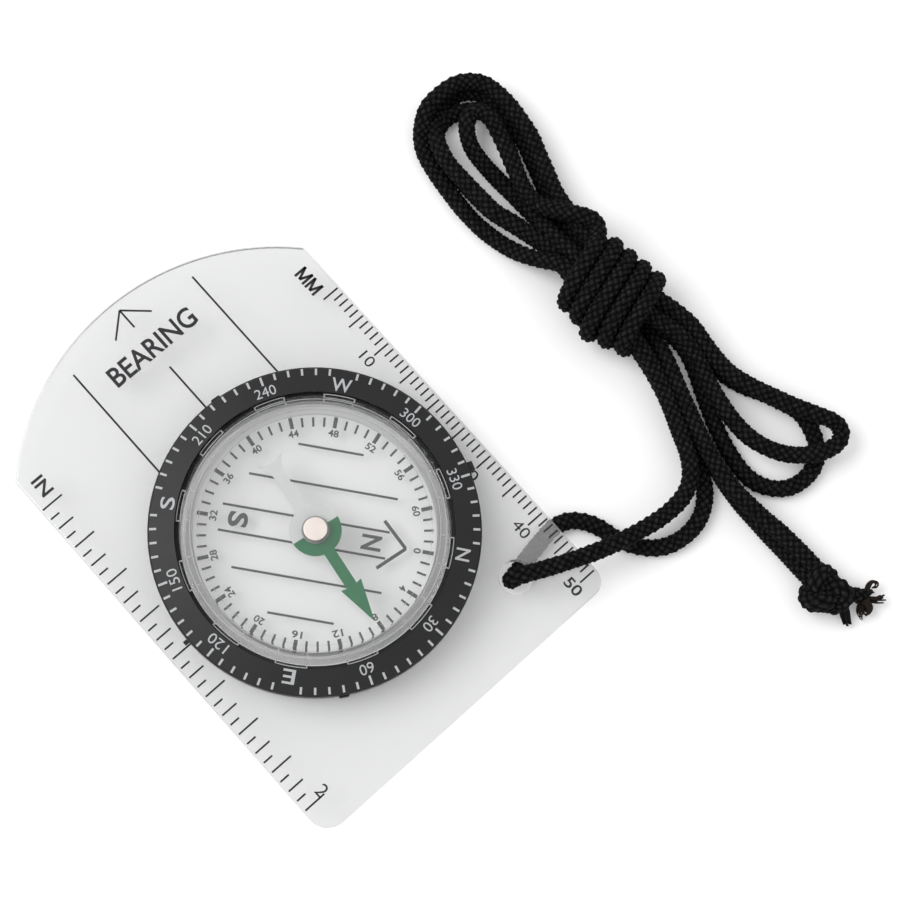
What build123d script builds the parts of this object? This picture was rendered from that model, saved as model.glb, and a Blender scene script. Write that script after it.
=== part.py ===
from build123d import *
import os
from math import cos, pi, radians, sin, tan

# Small liquid-filled baseplate compass with a folded neck cord.
# Millimetres. +Z is up, +Y is the direction of travel, +X is towards the millimetre ruler.
# The origin is on the axis of the turning bezel, at the level that the compass stands on.

# Baseplate
PLATE_LEFT = -24.55
PLATE_RIGHT = 24.05
PLATE_BACK = -29.9
PLATE_FRONT = 40.4
PLATE_FRONT_RADIUS = 33.6
PLATE_ARC_X = -0.5
PLATE_UNDERSIDE = 2.4
PLATE_THICKNESS = 2.0
PLATE_TOP = PLATE_UNDERSIDE + PLATE_THICKNESS
PLATE_EDGE_ROUND = 0.35
BACK_LEFT_CORNER = 3.0
BACK_RIGHT_CORNER = 2.3
FRONT_CORNER = 0.8
CAPSULE_HOLE_RADIUS = 17.7
LANYARD_HOLE = (15.6, -21.4)
LANYARD_HOLE_RADIUS = 2.25

# Turning bezel. Headings are clockwise from +Y, seen from above.
NORTH_HEADING = 141.4
BEZEL_RADIUS = 21.3
BEZEL_BORE = 17.35
BEZEL_INNER_EDGE = 17.9
BEZEL_LIFT = 0.1
BEZEL_UNDERSIDE = PLATE_TOP + BEZEL_LIFT
BEZEL_LEDGE = 6.2
BEZEL_RIM_TOP = 6.9
BEZEL_INNER_TOP = 7.5
BEZEL_CHAMFER = 0.25
GATE_MARK_HEADINGS = (4.5, 108.5, 211.5)
GATE_MARK_REACH = (0.4, 0.8, 0.25)
GATE_MARK_WIDTH = 1.3
GATE_MARK_HEIGHT = 1.2

# Capsule
CAPSULE_RADIUS = 17.3
CAPSULE_INSIDE = 15.7
CAPSULE_FLOOR = 1.8
CAPSULE_WALL_TOP = 7.0
FLANGE_RADIUS = 19.4
FLANGE_UNDERSIDE = 1.1
FLANGE_TOP = PLATE_UNDERSIDE - 0.1
CAPSULE_FOOT_CHAMFER = 0.4
TAB_COUNT = 12
TAB_ANGLE = 13.0
TAB_REACH = 0.5
TAB_UNDERSIDE = BEZEL_LEDGE + 0.02
TAB_TOP = 6.95
COVER_UNDERSIDE = 7.4
COVER_TOP = 8.6
COVER_TOP_RADIUS = 16.7
COVER_RIM_EDGE = 7.7
SPIGOT_OUTSIDE = 15.65
SPIGOT_INSIDE = 14.9
SPIGOT_UNDERSIDE = 6.4

# Pivot and needle
BOSS_RADIUS = 3.1
BOSS_TOP = 2.3
POST_RADIUS = 1.1
POST_TOP = 3.0
PIN_RADIUS = 0.35
PIN_FOOT = 1.0
PIN_SHOULDER = 5.5
PIN_TIP = 5.8
PIN_TIP_RADIUS = 0.08
NEEDLE_HEADING = 188.6
NEEDLE_UNDERSIDE = 5.0
NEEDLE_THICKNESS = 0.25
NEEDLE_TOP = NEEDLE_UNDERSIDE + NEEDLE_THICKNESS
NEEDLE_HUB_DISC = 3.35
NEEDLE_SHAFT = 1.5
NEEDLE_NORTH = 13.9
BARB_LINE = 8.5
BARB_SWEEP = 0.15
BARB_HALF_WIDTH = 1.5
TAIL_FORK = 8.0
TAIL_FLARE = (1.35, 10.2)
TAIL_NOTCH = 10.4
TAIL_END = 11.9
TAIL_HALF_SPREAD = 2.9
HUB_BORE = 0.9
HUB_COLLAR_RADIUS = 1.8
HUB_COLLAR_TOP = 5.6
HUB_CAP_RADIUS = 1.27
HUB_CAP_TOP = 6.7
HUB_CAP_ROUND = 0.2
JEWEL_RADIUS = 0.88
JEWEL_TOP = 6.2
JEWEL_BORE = 0.4
JEWEL_BORE_TOP = 5.86

# Neck cord: black braid, doubled through the small hole.
CORD_DIAMETER = 2.2
CORD_RADIUS = CORD_DIAMETER / 2
ARC_SHARE = 0.45
# The strand that leaves over the plate, from the hole to the binding of the hank.
UPPER_STRAND = [
    (15.0, -21.2, 5.6),
    (20.0, -23.7, 5.6),
    (26.3, -26.3, 5.5),
    (31.5, -27.6, 4.4),
    (36.2, -28.4, 3.6),
    (40.4, -28.0, 3.4),
    (43.2, -25.5, 3.4),
    (45.0, -21.2, 3.4),
    (46.9, -16.6, 3.4),
    (48.3, -12.0, 3.8),
    (48.8, -6.5, 5.0),
]
# The strand that leaves under the plate, along the surface that the compass stands on.
LOWER_STRAND = [
    (15.0, -21.2, 1.2),
    (19.8, -20.2, 1.2),
    (25.4, -19.4, 1.15),
    (28.5, -22.4, 1.1),
    (29.6, -27.4, 1.1),
    (33.2, -31.7, 1.1),
    (39.2, -32.2, 1.1),
    (43.3, -29.0, 1.1),
    (44.9, -24.2, 1.1),
    (46.7, -19.2, 1.1),
    (48.3, -13.6, 1.2),
    (49.1, -6.5, 2.6),
]
# The two strands that run one on the other from the binding to the end knot.
TAIL_UPPER = [
    (51.0, -7.0, 4.8),
    (50.7, -12.0, 3.8),
    (49.4, -16.8, 3.4),
    (47.7, -21.4, 3.4),
    (45.8, -26.4, 3.4),
    (44.9, -31.6, 3.4),
    (44.8, -36.8, 3.4),
    (45.5, -41.6, 2.9),
    (46.1, -46.6, 2.7),
]
TAIL_LOWER = [
    (51.4, -7.0, 2.6),
    (51.1, -12.2, 1.4),
    (49.8, -17.0, 1.1),
    (48.1, -21.6, 1.1),
    (46.2, -26.6, 1.1),
    (45.1, -31.8, 1.1),
    (44.8, -36.8, 1.1),
    (44.4, -41.8, 1.1),
    (44.7, -46.6, 1.8),
]

# Hank: outer shapes of its loops and of the turns that bind it.
HANK_TILT = 8.3
BINDING_CENTRE = (51.1, -1.5)
BINDING_LENGTH = 12.0
BINDING_WIDTH = 11.8
BINDING_HEIGHT = 9.2
BINDING_END_ROUND = 1.2
LOOP_HEIGHT = 4.6
LOOP_EDGE_ROUND = 1.2
LONG_LOOPS_END = (51.4, 27.2)
LONG_LOOPS_END_RADIUS = 8.0
LONG_LOOPS_ROOT = (50.2, 9.7)
LONG_LOOPS_ROOT_RADIUS = 4.9
SHORT_LOOPS_END = (54.4, -30.8)
SHORT_LOOPS_END_RADIUS = 7.6
SHORT_LOOPS_ROOT = (55.2, -10.6)
SHORT_LOOPS_ROOT_RADIUS = 2.4

# End knot and the two cut ends of the cord
KNOT_CENTRE = (45.4, -49.3)
KNOT_SIZE = (7.0, 7.6, 5.4)
KNOT_ROUND = 2.2
LONG_CUT_END = [(47.2, -50.6, 2.4), (50.8, -54.6, 1.6)]
SHORT_CUT_END = [(44.9, -51.4, 2.2), (44.5, -55.2, 1.5)]
CUT_END_RADIUS = 1.05


def at_heading(radius, heading):
    """Point at a clockwise heading from +Y, on a circle about the bezel axis."""
    return (radius * sin(radians(heading)), radius * cos(radians(heading)))


def revolved(profile):
    """Solid of revolution about Z from (radius, height) points."""
    face = make_face(Plane.XZ * Polyline(*profile, close=True))
    return revolve(face, Axis.Z)


def disc(radius, bottom, top):
    return Pos(0, 0, bottom) * extrude(Circle(radius), top - bottom)


def plate_outline():
    arc_y = PLATE_FRONT - PLATE_FRONT_RADIUS
    left_y = arc_y + (PLATE_FRONT_RADIUS**2 - (PLATE_LEFT - PLATE_ARC_X) ** 2) ** 0.5
    right_y = arc_y + (PLATE_FRONT_RADIUS**2 - (PLATE_RIGHT - PLATE_ARC_X) ** 2) ** 0.5
    corners = {
        (PLATE_LEFT, left_y): FRONT_CORNER,
        (PLATE_LEFT, PLATE_BACK): BACK_LEFT_CORNER,
        (PLATE_RIGHT, PLATE_BACK): BACK_RIGHT_CORNER,
        (PLATE_RIGHT, right_y): FRONT_CORNER,
    }
    sides = Polyline(*corners)
    front = ThreePointArc((PLATE_RIGHT, right_y), (PLATE_ARC_X, PLATE_FRONT), (PLATE_LEFT, left_y))
    outline = make_face(Curve() + [sides, front])
    for (x, y), radius in corners.items():
        corner = outline.vertices().sort_by_distance((x, y, 0))[0]
        outline = fillet(corner, radius)
    return outline


def baseplate():
    plate = Pos(0, 0, PLATE_UNDERSIDE) * extrude(plate_outline(), PLATE_THICKNESS)
    rims = plate.faces().filter_by(Axis.Z).edges()
    plate = fillet(rims, PLATE_EDGE_ROUND)
    plate -= disc(CAPSULE_HOLE_RADIUS, PLATE_UNDERSIDE, PLATE_TOP)
    plate -= Pos(*LANYARD_HOLE) * disc(LANYARD_HOLE_RADIUS, PLATE_UNDERSIDE, PLATE_TOP)
    return plate


def gate_mark(heading, reach):
    """Small nib that the moulding gate leaves on the rim of the bezel."""
    x, y = at_heading(BEZEL_RADIUS - 0.5 + reach / 2, heading)
    nib = Box(GATE_MARK_WIDTH, reach + 1.0, GATE_MARK_HEIGHT)
    nib = fillet(nib.edges().filter_by(Axis.Z), 0.15)
    return Pos(x, y, BEZEL_UNDERSIDE + 0.2 + GATE_MARK_HEIGHT / 2) * Rot(0, 0, -heading) * nib


def bezel_ring():
    ring = revolved([
        (BEZEL_BORE, BEZEL_UNDERSIDE),
        (BEZEL_RADIUS - BEZEL_CHAMFER, BEZEL_UNDERSIDE),
        (BEZEL_RADIUS, BEZEL_UNDERSIDE + BEZEL_CHAMFER),
        (BEZEL_RADIUS, BEZEL_RIM_TOP - BEZEL_CHAMFER),
        (BEZEL_RADIUS - BEZEL_CHAMFER, BEZEL_RIM_TOP),
        (BEZEL_INNER_EDGE, BEZEL_INNER_TOP),
        (BEZEL_INNER_EDGE, BEZEL_LEDGE),
        (BEZEL_BORE, BEZEL_LEDGE),
    ])
    for heading, reach in zip(GATE_MARK_HEADINGS, GATE_MARK_REACH):
        ring += gate_mark(heading, reach)
    return ring


def snap_tab(heading):
    """One of the tabs that hook over the ledge inside the bezel."""
    tab = revolve(
        make_face(Plane.XZ * Polyline(
            (CAPSULE_RADIUS - 0.3, TAB_UNDERSIDE),
            (CAPSULE_RADIUS + TAB_REACH, TAB_UNDERSIDE),
            (CAPSULE_RADIUS + TAB_REACH, TAB_TOP - 0.3),
            (CAPSULE_RADIUS + 0.2, TAB_TOP),
            (CAPSULE_RADIUS - 0.3, TAB_TOP),
            close=True,
        )),
        Axis.Z,
        revolution_arc=TAB_ANGLE,
    )
    return Rot(0, 0, 90 - heading - TAB_ANGLE / 2) * tab


def capsule_base():
    shell = revolved([
        (0, 0),
        (CAPSULE_RADIUS - CAPSULE_FOOT_CHAMFER, 0),
        (CAPSULE_RADIUS, CAPSULE_FOOT_CHAMFER),
        (CAPSULE_RADIUS, FLANGE_UNDERSIDE),
        (FLANGE_RADIUS, FLANGE_UNDERSIDE),
        (FLANGE_RADIUS, FLANGE_TOP),
        (CAPSULE_RADIUS, FLANGE_TOP),
        (CAPSULE_RADIUS, CAPSULE_WALL_TOP),
        (CAPSULE_INSIDE, CAPSULE_WALL_TOP),
        (CAPSULE_INSIDE, CAPSULE_FLOOR),
        (BOSS_RADIUS, CAPSULE_FLOOR),
        (BOSS_RADIUS, BOSS_TOP),
        (POST_RADIUS, BOSS_TOP),
        (POST_RADIUS, POST_TOP),
        (0, POST_TOP),
    ])
    for number in range(TAB_COUNT):
        shell += snap_tab(NORTH_HEADING + number * 360 / TAB_COUNT)
    return shell - disc(PIN_RADIUS, PIN_FOOT, POST_TOP)


def capsule_cover():
    return revolved([
        (0, COVER_UNDERSIDE),
        (SPIGOT_INSIDE, COVER_UNDERSIDE),
        (SPIGOT_INSIDE, SPIGOT_UNDERSIDE),
        (SPIGOT_OUTSIDE, SPIGOT_UNDERSIDE),
        (SPIGOT_OUTSIDE, CAPSULE_WALL_TOP),
        (CAPSULE_RADIUS, CAPSULE_WALL_TOP),
        (CAPSULE_RADIUS, COVER_RIM_EDGE),
        (COVER_TOP_RADIUS, COVER_TOP),
        (0, COVER_TOP),
    ])


def pivot_pin():
    return revolved([
        (0, PIN_FOOT),
        (PIN_RADIUS, PIN_FOOT),
        (PIN_RADIUS, PIN_SHOULDER),
        (PIN_TIP_RADIUS, PIN_TIP),
        (0, PIN_TIP),
    ])


def half_blade():
    """Right-hand half of the needle's blade, with its north tip at +Y."""
    half_shaft = NEEDLE_SHAFT / 2
    fork = (half_shaft, -TAIL_FORK)
    tail_point = (TAIL_HALF_SPREAD, -TAIL_END)
    flare_x, flare_y = TAIL_FLARE
    side = Polyline(
        (0, -TAIL_END),
        (0, NEEDLE_NORTH),
        (BARB_HALF_WIDTH, BARB_LINE - BARB_SWEEP),
        (half_shaft, BARB_LINE),
        fork,
    )
    flare = ThreePointArc(fork, (flare_x, -flare_y), tail_point)
    return make_face(Curve() + [side, flare, Line(tail_point, (0, -TAIL_END))])


def compass_needle():
    notch_depth = TAIL_END - TAIL_NOTCH
    notch_radius = (TAIL_HALF_SPREAD**2 + notch_depth**2) / (2 * notch_depth)
    half = half_blade()
    blade = half + mirror(half, Plane.YZ) + Circle(NEEDLE_HUB_DISC)
    blade -= Pos(0, -TAIL_NOTCH - notch_radius) * Circle(notch_radius)
    blade -= Circle(HUB_BORE)
    blade = extrude(blade, NEEDLE_THICKNESS)
    return Pos(0, 0, NEEDLE_UNDERSIDE) * Rot(0, 0, -NEEDLE_HEADING) * blade


def needle_hub():
    hub = disc(HUB_COLLAR_RADIUS, NEEDLE_TOP, HUB_COLLAR_TOP)
    hub += disc(HUB_CAP_RADIUS, HUB_COLLAR_TOP, HUB_CAP_TOP)
    crown = hub.edges().sort_by(Axis.Z)[-1]
    hub = fillet(crown, HUB_CAP_ROUND)
    return hub - disc(HUB_BORE, NEEDLE_TOP, JEWEL_TOP)


def jewel_cup():
    cup = disc(JEWEL_RADIUS, NEEDLE_UNDERSIDE, JEWEL_TOP)
    return cup - disc(JEWEL_BORE, NEEDLE_UNDERSIDE, JEWEL_BORE_TOP)


def corner_radii(points):
    """Largest tangent arc at each corner that its two runs leave room for."""
    spots = [Vector(*point) for point in points]
    radii = []
    for before, corner, after in zip(spots, spots[1:], spots[2:]):
        arriving = corner - before
        leaving = after - corner
        turn = radians(arriving.get_angle(leaving))
        radii.append(ARC_SHARE * min(arriving.length, leaving.length) / tan(turn / 2))
    return radii


def cord_tube(name, points, radius=CORD_RADIUS):
    """Round tube along straight runs joined by tangent arcs."""
    if len(points) > 2:
        radii = corner_radii(points)
        print(name, "corner radii", [round(value, 1) for value in radii])
        path = FilletPolyline(*points, radius=radii)
    else:
        path = Line(*points)
    tube = sweep(Plane(path @ 0, z_dir=path % 0) * Circle(radius), path=path)
    print(name, "length", round(path.length, 1), "volume", round(tube.volume, 1),
          "section x length", round(pi * radius**2 * path.length, 1))
    return tube


def lanyard_strands():
    """The bight through the small hole, with both strands as far as the hank."""
    return cord_tube("lanyard_strands", UPPER_STRAND[::-1] + LOWER_STRAND)


def loops(end, end_radius, root, root_radius):
    """Outer shape of a bundle of loops lying flat: two round ends and their common tangents."""
    rounds = [Pos(*end) * Circle(end_radius), Pos(*root) * Circle(root_radius)]
    outline = make_hull([edge for shape in rounds for edge in shape.edges()])
    bundle = extrude(outline, LOOP_HEIGHT)
    top = bundle.faces().sort_by(Axis.Z)[-1]
    return fillet(top.edges(), LOOP_EDGE_ROUND)


def hank_binding():
    """Outer shape of the turns wound round the middle of the hank."""
    turns = extrude(Ellipse(BINDING_WIDTH / 2, BINDING_HEIGHT / 2), BINDING_LENGTH / 2, both=True)
    turns = fillet(turns.edges(), BINDING_END_ROUND)
    place = Pos(*BINDING_CENTRE, BINDING_HEIGHT / 2) * Rot(0, 0, HANK_TILT)
    return place * Rot(90, 0, 0) * turns


def end_knot():
    width, length, height = KNOT_SIZE
    knot = extrude(Ellipse(width / 2, length / 2), height)
    knot = fillet(knot.edges(), KNOT_ROUND)
    return Pos(*KNOT_CENTRE, 0) * knot


PARTS = {
    "baseplate": baseplate(),
    "bezel_ring": bezel_ring(),
    "capsule_base": capsule_base(),
    "capsule_cover": capsule_cover(),
    "pivot_pin": pivot_pin(),
    "compass_needle": compass_needle(),
    "needle_hub": needle_hub(),
    "jewel_cup": jewel_cup(),
    "lanyard_strands": lanyard_strands(),
    "hank_long_loops": loops(
        LONG_LOOPS_END, LONG_LOOPS_END_RADIUS, LONG_LOOPS_ROOT, LONG_LOOPS_ROOT_RADIUS
    ),
    "hank_short_loops": loops(
        SHORT_LOOPS_END, SHORT_LOOPS_END_RADIUS, SHORT_LOOPS_ROOT, SHORT_LOOPS_ROOT_RADIUS
    ),
    "hank_binding": hank_binding(),
    "tail_upper": cord_tube("tail_upper", TAIL_UPPER),
    "tail_lower": cord_tube("tail_lower", TAIL_LOWER),
    "end_knot": end_knot(),
    "cut_end_long": cord_tube("cut_end_long", LONG_CUT_END, CUT_END_RADIUS),
    "cut_end_short": cord_tube("cut_end_short", SHORT_CUT_END, CUT_END_RADIUS),
}

os.makedirs("parts", exist_ok=True)
for node, shape in PARTS.items():
    export_step(shape, f"parts/{node}.step")
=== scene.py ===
import random
from math import cos, pi, radians, sin, tau

import bmesh
import bpy
import numpy as np
from mathutils import Matrix, Vector


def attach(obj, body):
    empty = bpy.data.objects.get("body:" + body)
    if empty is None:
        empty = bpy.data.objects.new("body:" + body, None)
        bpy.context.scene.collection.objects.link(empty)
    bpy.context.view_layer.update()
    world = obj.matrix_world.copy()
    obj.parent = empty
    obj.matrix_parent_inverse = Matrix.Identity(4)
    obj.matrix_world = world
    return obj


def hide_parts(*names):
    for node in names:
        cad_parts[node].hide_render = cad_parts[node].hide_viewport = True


# Looks of a small baseplate compass with a folded neck cord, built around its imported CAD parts.
# Lengths are written in millimetres and turned into Blender's metres by MM. +Y is the direction
# of travel, +Z is up, and headings run clockwise from +Y.
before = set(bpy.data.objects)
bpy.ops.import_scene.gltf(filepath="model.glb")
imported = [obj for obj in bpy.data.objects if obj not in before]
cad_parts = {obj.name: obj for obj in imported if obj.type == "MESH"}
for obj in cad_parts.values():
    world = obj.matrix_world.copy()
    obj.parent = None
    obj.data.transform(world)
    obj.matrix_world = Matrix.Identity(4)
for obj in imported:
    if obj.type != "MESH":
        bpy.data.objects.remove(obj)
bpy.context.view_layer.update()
random.seed(7)
MM = 0.001

# Levels and radii that the CAD parts have.
PLATE_TOP = 4.4
RING_RADIUS = 21.3
RING_INNER_EDGE = 17.9
RING_RIM_TOP = 6.9
RING_INNER_TOP = 7.5
DIAL_FLOOR = 1.8
COVER_TOP = 8.6
CAPSULE_WALL_START = 15.62
NORTH_HEADING = 141.4
NEEDLE_HEADING = 188.6
HUB_CAP_EDGE = 1.2
TAB_COUNT = 12
TAB_ANGLE = 13.0
TAB_TOP = 6.95

# Sizes of the pieces that only the looks have.
INK = 0.03
INK_GAP = 0.01
CAP_RADIUS = 1.58
CAP_DEPTH = 0.36
CAP_MIDDLE = 6.72
CAP_ROUND = 0.12
# Radii of the pale painted highlights round the tab slots and on the cover's rim.
TAB_SLOT_EDGES = (17.22, 17.7)
COVER_RIM_GLINT_RADII = (15.9, 16.66)


def new_object(name, data):
    made = bpy.data.objects.new(name, data)
    bpy.context.scene.collection.objects.link(made)
    return made


def metres(points):
    return [Vector(point) * MM for point in points]


# ---------------------------------------------------------------- materials


def new_material(name):
    """An empty material with its Principled shader and a small helper for wiring nodes."""
    material = bpy.data.materials.new(name)
    material.use_nodes = True
    tree = material.node_tree
    shader = tree.nodes["Principled BSDF"]
    return material, tree, shader


def add_node(tree, kind, settings=None, **inputs):
    """Adds a node; inputs are numbers, colours or other nodes' sockets, by socket name or place."""
    node = tree.nodes.new(kind)
    for key, value in (settings or {}).items():
        setattr(node, key, value)
    for key, value in inputs.items():
        socket = node.inputs[int(key[1:])] if key[0] == "i" and key[1:].isdigit() else node.inputs[key]
        if isinstance(value, bpy.types.NodeSocket):
            tree.links.new(value, socket)
        else:
            socket.default_value = value
    return node


def object_place(tree):
    return add_node(tree, "ShaderNodeTexCoord").outputs["Object"]


def mixed_colour(tree, factor, low, high):
    ramp = add_node(tree, "ShaderNodeValToRGB", Fac=factor)
    ramp.color_ramp.elements[0].color = (*low, 1)
    ramp.color_ramp.elements[1].color = (*high, 1)
    return ramp.outputs["Color"]


def mapped(tree, value, low, high):
    spread = add_node(tree, "ShaderNodeMapRange", Value=value)
    spread.inputs["To Min"].default_value = low
    spread.inputs["To Max"].default_value = high
    return spread.outputs["Result"]


def speckle(tree, scale, detail=4.0, roughness=0.6):
    """Noise in the piece's own coordinates."""
    noise = add_node(
        tree, "ShaderNodeTexNoise", Vector=object_place(tree), Scale=scale, Detail=detail,
        Roughness=roughness,
    )
    return noise.outputs["Fac"]


def axis_distance(tree):
    """Distance from the bezel's axis, in the piece's own coordinates."""
    flat = add_node(
        tree, "ShaderNodeVectorMath", {"operation": "MULTIPLY"}, i0=object_place(tree),
        i1=(1.0, 1.0, 0.0),
    ).outputs["Vector"]
    return add_node(tree, "ShaderNodeVectorMath", {"operation": "LENGTH"}, i0=flat).outputs["Value"]


def add_bump(tree, shader, height, strength, distance):
    bump = add_node(tree, "ShaderNodeBump", Height=height, Strength=strength, Distance=distance)
    tree.links.new(bump.outputs["Normal"], shader.inputs["Normal"])


def clear_plastic(name, colour, transmission, rough, waviness, wall_share=0.0, wall_radius=100.0):
    """Clear moulded acrylic with a faint haze, a slightly wavy face and fine handling marks.
    Light that falls through it on other surfaces passes straight on, and so does wall_share of
    what is seen through its steep walls or beyond wall_radius."""
    material, tree, shader = new_material(name)
    shader.inputs["Base Color"].default_value = (*colour, 1)
    shader.inputs["IOR"].default_value = 1.49
    shader.inputs["Transmission Weight"].default_value = transmission
    shader.inputs["Roughness"].default_value = 0.0
    if rough > 0:
        haze = speckle(tree, 260.0, 6.0, 0.7)
        tree.links.new(mapped(tree, haze, rough * 0.5, rough * 1.6), shader.inputs["Roughness"])
        add_bump(tree, shader, speckle(tree, 70.0, 2.0, 0.4), waviness, 0.0004)
    ray = add_node(tree, "ShaderNodeLightPath")
    passing = add_node(
        tree, "ShaderNodeMath", {"operation": "MAXIMUM"}, i0=ray.outputs["Is Shadow Ray"],
        i1=ray.outputs["Is Diffuse Ray"],
    )
    facing = add_node(tree, "ShaderNodeTexCoord").outputs["Normal"]
    rise = add_node(tree, "ShaderNodeSeparateXYZ", Vector=facing).outputs["Z"]
    level = add_node(tree, "ShaderNodeMath", {"operation": "ABSOLUTE"}, i0=rise)
    steep = add_node(tree, "ShaderNodeMath", {"operation": "LESS_THAN"}, i0=level.outputs["Value"], i1=0.6)
    outside = add_node(
        tree, "ShaderNodeMath", {"operation": "GREATER_THAN"}, i0=axis_distance(tree),
        i1=wall_radius * MM,
    )
    either = add_node(
        tree, "ShaderNodeMath", {"operation": "MAXIMUM"}, i0=steep.outputs["Value"],
        i1=outside.outputs["Value"],
    )
    wall = add_node(
        tree, "ShaderNodeMath", {"operation": "MULTIPLY"}, i0=either.outputs["Value"], i1=wall_share
    )
    passing = add_node(
        tree, "ShaderNodeMath", {"operation": "MAXIMUM"}, i0=passing.outputs["Value"],
        i1=wall.outputs["Value"],
    )
    # What is seen straight through is tinted a little darker on steep faces: painted shade that stands in
    # for the edge lines refraction draws in the walls.
    steep_face_shade = mixed_colour(tree, steep.outputs["Value"], (0.97, 0.97, 0.97), (0.95, 0.954, 0.95))
    clear = add_node(tree, "ShaderNodeBsdfTransparent", Color=steep_face_shade)
    join = add_node(tree, "ShaderNodeMixShader", Fac=passing.outputs["Value"])
    tree.links.new(shader.outputs["BSDF"], join.inputs[1])
    tree.links.new(clear.outputs["BSDF"], join.inputs[2])
    tree.links.new(join.outputs["Shader"], tree.nodes["Material Output"].inputs["Surface"])
    return material


def black_moulding():
    """Satin black plastic with a fine moulded texture."""
    material, tree, shader = new_material("black_moulding")
    grain = speckle(tree, 2600.0, 3.0, 0.6)
    patches = speckle(tree, 160.0, 4.0, 0.6)
    colour = mixed_colour(tree, patches, (0.006, 0.006, 0.007), (0.014, 0.014, 0.015))
    tree.links.new(colour, shader.inputs["Base Color"])
    shader.inputs["Specular IOR Level"].default_value = 0.33
    tree.links.new(mapped(tree, patches, 0.38, 0.56), shader.inputs["Roughness"])
    add_bump(tree, shader, grain, 0.25, 0.00005)
    return material


def printed_ink(name, low, high, rough):
    """Screen-printed ink, a little uneven; also the pale paint of the painted highlights on the tabs and
    cover rim.
    """
    material, tree, shader = new_material(name)
    tree.links.new(mixed_colour(tree, speckle(tree, 1800.0), low, high), shader.inputs["Base Color"])
    shader.inputs["Roughness"].default_value = rough
    shader.inputs["Specular IOR Level"].default_value = 0.25
    return material


def braided_nylon():
    """Black braid: dull, with painted shade, in the gaps between its yarns; painted highlights, speckled
    at random, on the yarns' crests; fine filaments along each yarn.
    """
    material, tree, shader = new_material("braided_nylon")
    height = add_node(tree, "ShaderNodeAttribute", {"attribute_name": "yarn_height"}).outputs["Fac"]
    # Painted light: the yarns' crests are painted lighter as highlights, in random specks, and the gaps
    # near black as shade.
    highlight_speckle = mapped(tree, speckle(tree, 1300.0), -0.55, 1.75)
    crest_highlight_gap_shade = add_node(tree, "ShaderNodeMath", {"operation": "MULTIPLY"}, i0=height, i1=highlight_speckle)
    colour = mixed_colour(tree, crest_highlight_gap_shade.outputs["Value"], (0.0006, 0.0006, 0.0007), (0.027, 0.027, 0.028))
    tree.links.new(colour, shader.inputs["Base Color"])
    tree.links.new(mapped(tree, height, 0.95, 0.62), shader.inputs["Roughness"])
    shader.inputs["Specular IOR Level"].default_value = 0.06
    add_bump(tree, shader, speckle(tree, 9000.0, 2.0), 0.5, 0.00006)
    return material


def frayed_nylon(name, low, high):
    """Loose filaments at a cut end, slightly brown where they were singed."""
    material, tree, shader = new_material(name)
    colour = mixed_colour(tree, speckle(tree, 700.0), low, high)
    tree.links.new(colour, shader.inputs["Base Color"])
    shader.inputs["Roughness"].default_value = 0.7
    shader.inputs["Specular IOR Level"].default_value = 0.12
    return material


def needle_paint():
    """Green on the north half of the needle and white on the south half."""
    material, tree, shader = new_material("needle_paint")
    heading = radians(NEEDLE_HEADING)
    along = add_node(
        tree, "ShaderNodeVectorMath", {"operation": "DOT_PRODUCT"}, i0=object_place(tree),
        i1=(sin(heading), cos(heading), 0.0),
    ).outputs["Value"]
    north = add_node(tree, "ShaderNodeMath", {"operation": "GREATER_THAN"}, i0=along, i1=0.0)
    flecks = speckle(tree, 500.0)
    green = mixed_colour(tree, flecks, (0.004, 0.115, 0.038), (0.010, 0.170, 0.066))
    white = mixed_colour(tree, flecks, (0.57, 0.58, 0.58), (0.65, 0.66, 0.66))
    pick = add_node(
        tree, "ShaderNodeMix", {"data_type": "RGBA"}, Factor=north.outputs["Value"]
    )
    tree.links.new(white, pick.inputs[6])
    tree.links.new(green, pick.inputs[7])
    tree.links.new(pick.outputs[2], shader.inputs["Base Color"])
    tree.links.new(mapped(tree, flecks, 0.3, 0.45), shader.inputs["Roughness"])
    shader.inputs["Specular IOR Level"].default_value = 0.1
    return material


def turned_metal(name, low, high, rough):
    """Small turned metal part with fine lathe marks."""
    material, tree, shader = new_material(name)
    tree.links.new(mixed_colour(tree, speckle(tree, 900.0), low, high), shader.inputs["Base Color"])
    shader.inputs["Metallic"].default_value = 1.0
    rings = add_node(
        tree, "ShaderNodeTexWave", {"wave_type": "RINGS", "rings_direction": "Z"},
        Vector=object_place(tree), Scale=1400.0, Distortion=0.6,
    ).outputs["Fac"]
    tree.links.new(mapped(tree, rings, rough, rough * 1.5), shader.inputs["Roughness"])
    add_bump(tree, shader, rings, 0.1, 0.00002)
    return material


def hub_metal():
    """Pale rose cap on a grey collar, both with fine lathe marks."""
    material, tree, shader = new_material("hub_metal")
    outer = add_node(
        tree, "ShaderNodeMath", {"operation": "GREATER_THAN"}, i0=axis_distance(tree),
        i1=HUB_CAP_EDGE * MM,
    )
    worn = speckle(tree, 900.0)
    pick = add_node(
        tree, "ShaderNodeMix", {"data_type": "RGBA"}, Factor=outer.outputs["Value"]
    )
    tree.links.new(mixed_colour(tree, worn, (0.72, 0.62, 0.58), (0.86, 0.76, 0.71)), pick.inputs[6])
    tree.links.new(mixed_colour(tree, worn, (0.16, 0.16, 0.16), (0.30, 0.30, 0.30)), pick.inputs[7])
    tree.links.new(pick.outputs[2], shader.inputs["Base Color"])
    shader.inputs["Metallic"].default_value = 1.0
    tree.links.new(mapped(tree, worn, 0.28, 0.42), shader.inputs["Roughness"])
    return material


def ruby():
    material, tree, shader = new_material("ruby")
    tree.links.new(
        mixed_colour(tree, speckle(tree, 800.0), (0.45, 0.03, 0.06), (0.65, 0.06, 0.10)),
        shader.inputs["Base Color"],
    )
    shader.inputs["Roughness"].default_value = 0.12
    shader.inputs["Transmission Weight"].default_value = 0.4
    return material


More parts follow.
